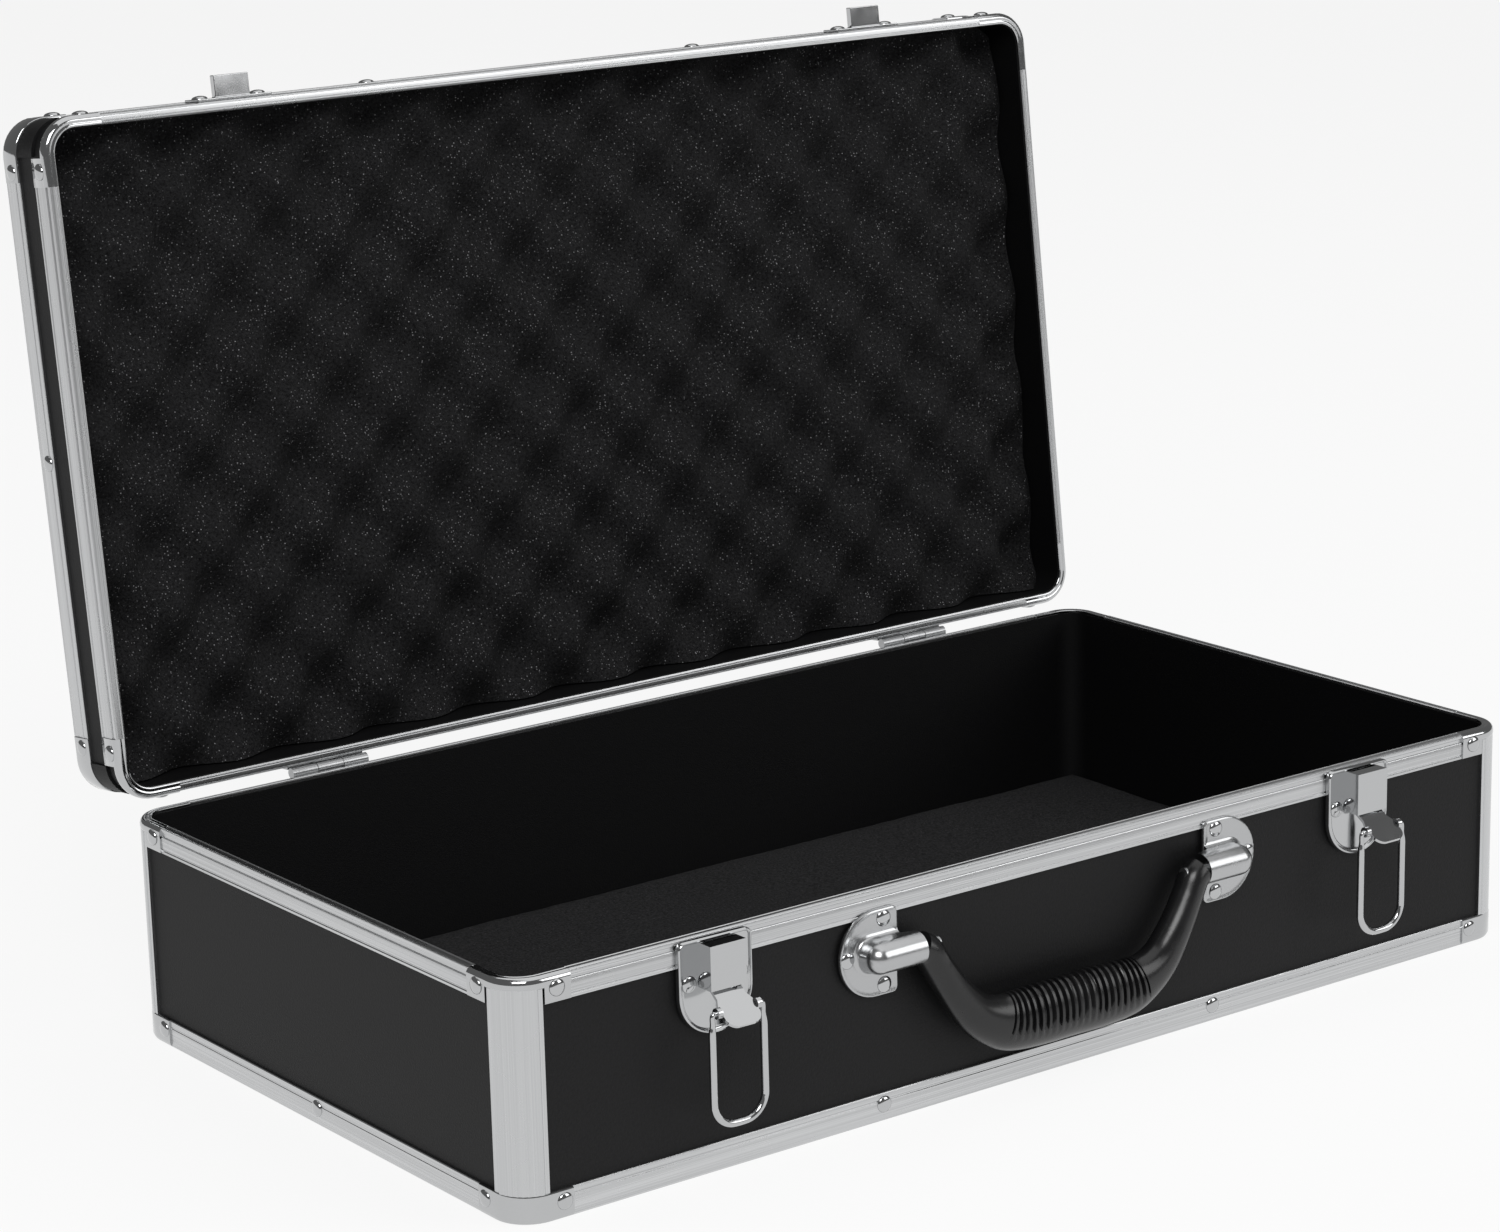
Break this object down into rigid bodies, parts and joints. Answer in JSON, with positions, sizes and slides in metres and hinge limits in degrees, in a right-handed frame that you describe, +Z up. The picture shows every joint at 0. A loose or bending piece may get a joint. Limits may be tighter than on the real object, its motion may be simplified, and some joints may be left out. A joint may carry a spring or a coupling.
{
  "type": "aluminium framed tool case",
  "caption": "Carrying case with black boards in an aluminium frame, foam lining, a hinged lid, toggle latches and a folding handle.",
  "frame": {"origin": "middle of the front foot angle's underside, half way along the case's front, on the plane that it stands on", "axes": "+X along the front to the right, +Y to the hinged back, +Z up"},
  "size_m": [0.5038, 0.3632, 0.3742],
  "materials": {
    "black_board": "fine pebbled black laminate",
    "aluminium_trim": "satin anodised",
    "chrome": "polished plating",
    "zinc_steel": "zinc plated",
    "black_plastic": "moulded, soft sheen",
    "foam": "open-cell charcoal foam"
  },
  "bodies": {
    "base": {"base_floor_panel": "black_board", "base_floor_foam": "foam", "base_corner_posts": "aluminium_trim", "base_rim_corners": "chrome", "base_foot_caps": "chrome", "base_rivets": "chrome", "hinge_base_leaf_left": "zinc_steel", "hinge_base_leaf_right": "zinc_steel", "hinge_pins": "zinc_steel", "latch_pivot_pins": "zinc_steel", "latch_plate_left": "chrome", "latch_plate_right": "chrome", "latch_housing_left": "chrome", "latch_housing_right": "chrome", "handle_bracket_left": "chrome", "handle_bracket_right": "chrome", "base_front_panel": "black_board", "base_front_rim": "aluminium_trim", "base_front_foot_angle": "aluminium_trim", "base_rear_panel": "black_board", "base_rear_rim": "aluminium_trim", "base_rear_foot_angle": "aluminium_trim", "base_left_panel": "black_board", "base_left_rim": "aluminium_trim", "base_left_foot_angle": "aluminium_trim", "base_right_panel": "black_board", "base_right_rim": "aluminium_trim", "base_right_foot_angle": "aluminium_trim"},
    "lid": {"lid_top_panel": "black_board", "lid_foam": "foam", "lid_corner_posts": "aluminium_trim", "lid_rim_corners": "chrome", "lid_top_caps": "chrome", "lid_rivets": "chrome", "hinge_lid_leaf_left": "zinc_steel", "hinge_lid_leaf_right": "zinc_steel", "lid_keeper_left": "chrome", "lid_keeper_right": "chrome", "lid_front_panel": "black_board", "lid_front_rim": "aluminium_trim", "lid_front_top_angle": "aluminium_trim", "lid_rear_panel": "black_board", "lid_rear_rim": "aluminium_trim", "lid_rear_top_angle": "aluminium_trim", "lid_left_panel": "black_board", "lid_left_rim": "aluminium_trim", "lid_left_top_angle": "aluminium_trim", "lid_right_panel": "black_board", "lid_right_rim": "aluminium_trim", "lid_right_top_angle": "aluminium_trim"},
    "lever_left": {"latch_lever_left": "chrome"},
    "lever_right": {"latch_lever_right": "chrome"},
    "bail_left": {"latch_bail_left": "chrome"},
    "bail_right": {"latch_bail_right": "chrome"},
    "handle": {"handle_grip": "black_plastic", "handle_pins": "zinc_steel"}
  },
  "joints": [
    {"name": "lid_hinge", "type": "hinge", "parent": "base", "child": "lid", "pos_m": [0, 0.2687, 0.09285], "axis": [1, 0, 0], "range_deg": [0, 96.5]},
    {"name": "latch_lever_left", "type": "hinge", "parent": "base", "child": "lever_left", "pos_m": [-0.162, -0.0094, 0.0753], "axis": [1, 0, 0], "range_deg": [0, 52.5]},
    {"name": "latch_bail_left", "type": "hinge", "parent": "lever_left", "child": "bail_left", "pos_m": [-0.162, -0.0195, 0.06712], "axis": [-1, 0, 0], "range_deg": [0, 232.51]},
    {"name": "latch_lever_right", "type": "hinge", "parent": "base", "child": "lever_right", "pos_m": [0.162, -0.0094, 0.0753], "axis": [1, 0, 0], "range_deg": [0, 58.5]},
    {"name": "latch_bail_right", "type": "hinge", "parent": "lever_right", "child": "bail_right", "pos_m": [0.162, -0.0203, 0.06822], "axis": [-1, 0, 0], "range_deg": [0, 238.51]},
    {"name": "handle_swing", "type": "hinge", "parent": "base", "child": "handle", "pos_m": [0, -0.0112, 0.0676], "axis": [-1, 0, 0], "range_deg": [0, 110]}
  ],
  "couplings": [
    {"joint": "latch_bail_left", "follows": "latch_lever_left", "ratio": 4.4286},
    {"joint": "latch_bail_right", "follows": "latch_lever_right", "ratio": 4.0769}
  ]
}
